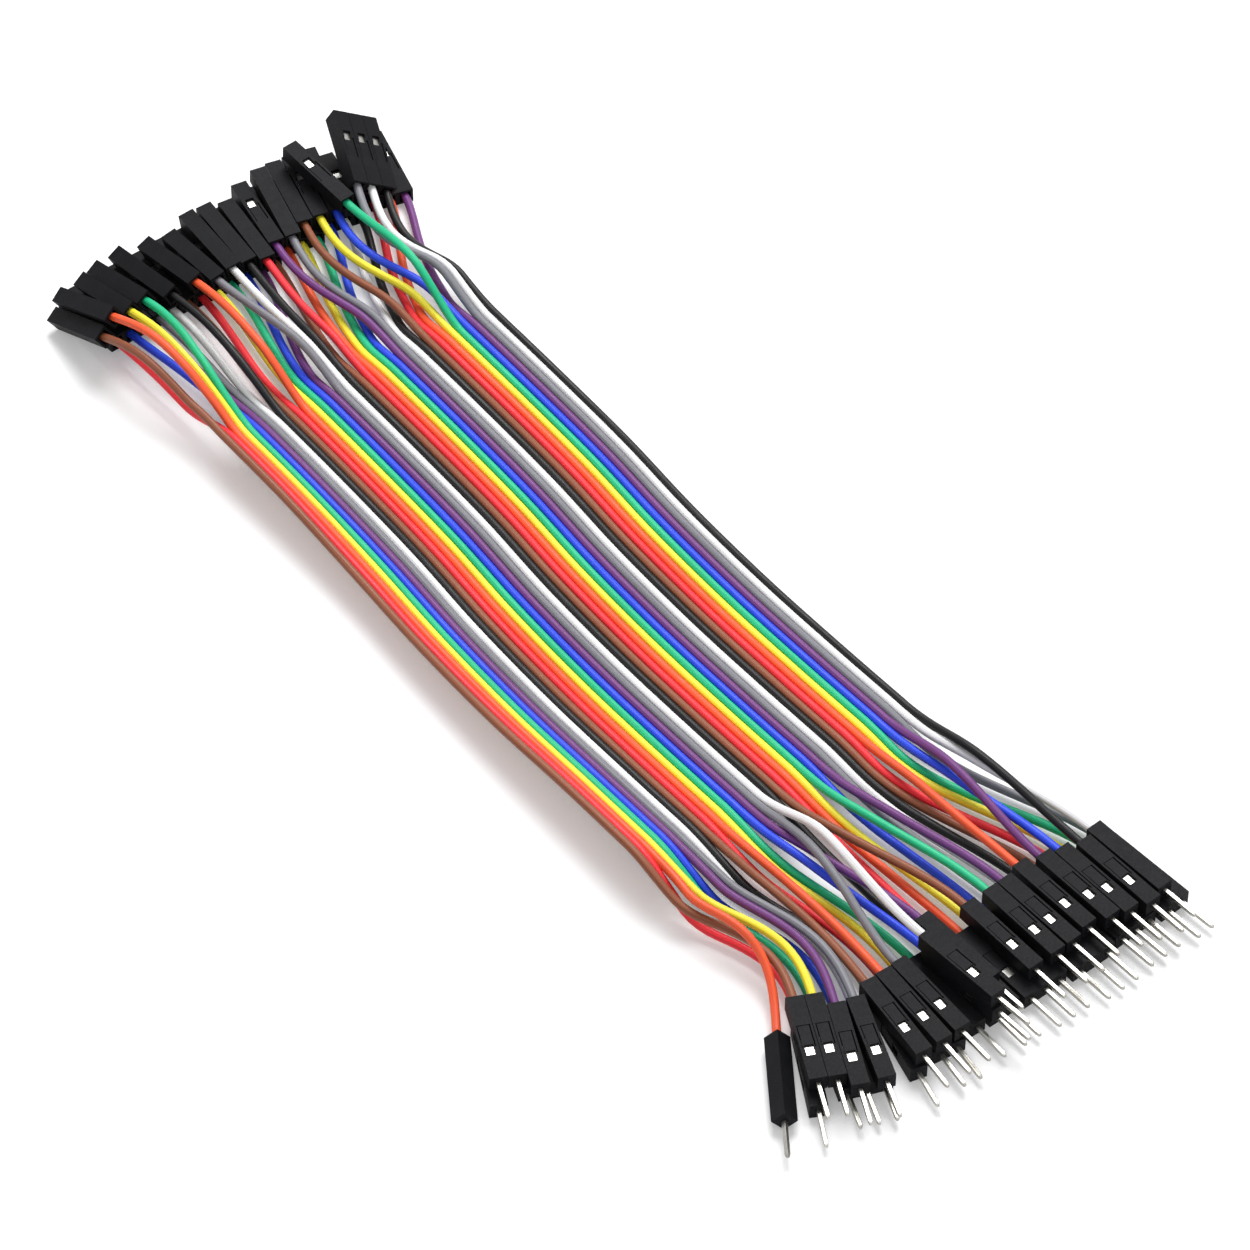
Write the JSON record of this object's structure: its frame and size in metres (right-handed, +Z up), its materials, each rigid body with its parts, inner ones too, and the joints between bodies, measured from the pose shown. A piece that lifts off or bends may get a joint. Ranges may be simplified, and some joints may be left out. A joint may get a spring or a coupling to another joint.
{
  "type": "breadboard jumper wire ribbon",
  "caption": "Flat rainbow ribbon of bonded jumper wires, split into single wires at both ends, with crimp socket housings on one end and pin housings on the other.",
  "frame": {"origin": "middle of all the housings across and along the ribbon, on the surface the ribbon lies on", "axes": "+X along the wires towards the pin housings, +Y across the ribbon towards its flat edge, +Z up"},
  "size_m": [0.1996, 0.0744, 0.0125],
  "materials": {
    "insulation": "satin flexible PVC, one colour a wire in the order brown, red, orange, yellow, green, blue, purple, grey, white, black",
    "housing": "matte black nylon with a fine grain, with bright tinned terminals inside"
  },
  "bodies": {
    "root": {"pin_connector_01": "housing", "pin_connector_02": "housing", "pin_connector_03": "housing", "pin_connector_04": "housing", "pin_connector_05_06_09": "housing", "pin_connector_07": "housing", "pin_connector_08": "housing", "pin_connector_10": "housing", "pin_connector_11": "housing", "pin_connector_12_14": "housing", "pin_connector_13": "housing", "pin_connector_15": "housing", "pin_connector_16": "housing", "pin_connector_17": "housing", "pin_connector_18": "housing", "pin_connector_19": "housing", "pin_connector_20_22": "housing", "pin_connector_21": "housing", "pin_connector_23_24_26": "housing", "pin_connector_25": "housing", "pin_connector_27": "housing", "pin_connector_28_29_30": "housing", "pin_connector_31_32_34": "housing", "pin_connector_33": "housing", "pin_connector_35_38": "housing", "pin_connector_36": "housing", "pin_connector_37": "housing", "pin_connector_39": "housing", "pin_connector_40": "housing", "ribbon_cable": "insulation", "socket_connector_01": "housing", "socket_connector_02_06_07": "housing", "socket_connector_03": "housing", "socket_connector_04": "housing", "socket_connector_05": "housing", "socket_connector_08_09_11": "housing", "socket_connector_10": "housing", "socket_connector_12_14_15": "housing", "socket_connector_13": "housing", "socket_connector_16_17_21": "housing", "socket_connector_18": "housing", "socket_connector_19": "housing", "socket_connector_20": "housing", "socket_connector_22": "housing", "socket_connector_23_24_25": "housing", "socket_connector_26_29_30": "housing", "socket_connector_27": "housing", "socket_connector_28": "housing", "socket_connector_31": "housing", "socket_connector_32_33_37": "housing", "socket_connector_34": "housing", "socket_connector_35": "housing", "socket_connector_36": "housing", "socket_connector_38": "housing", "socket_connector_39": "housing", "socket_connector_40": "housing"}
  },
  "joints": []
}
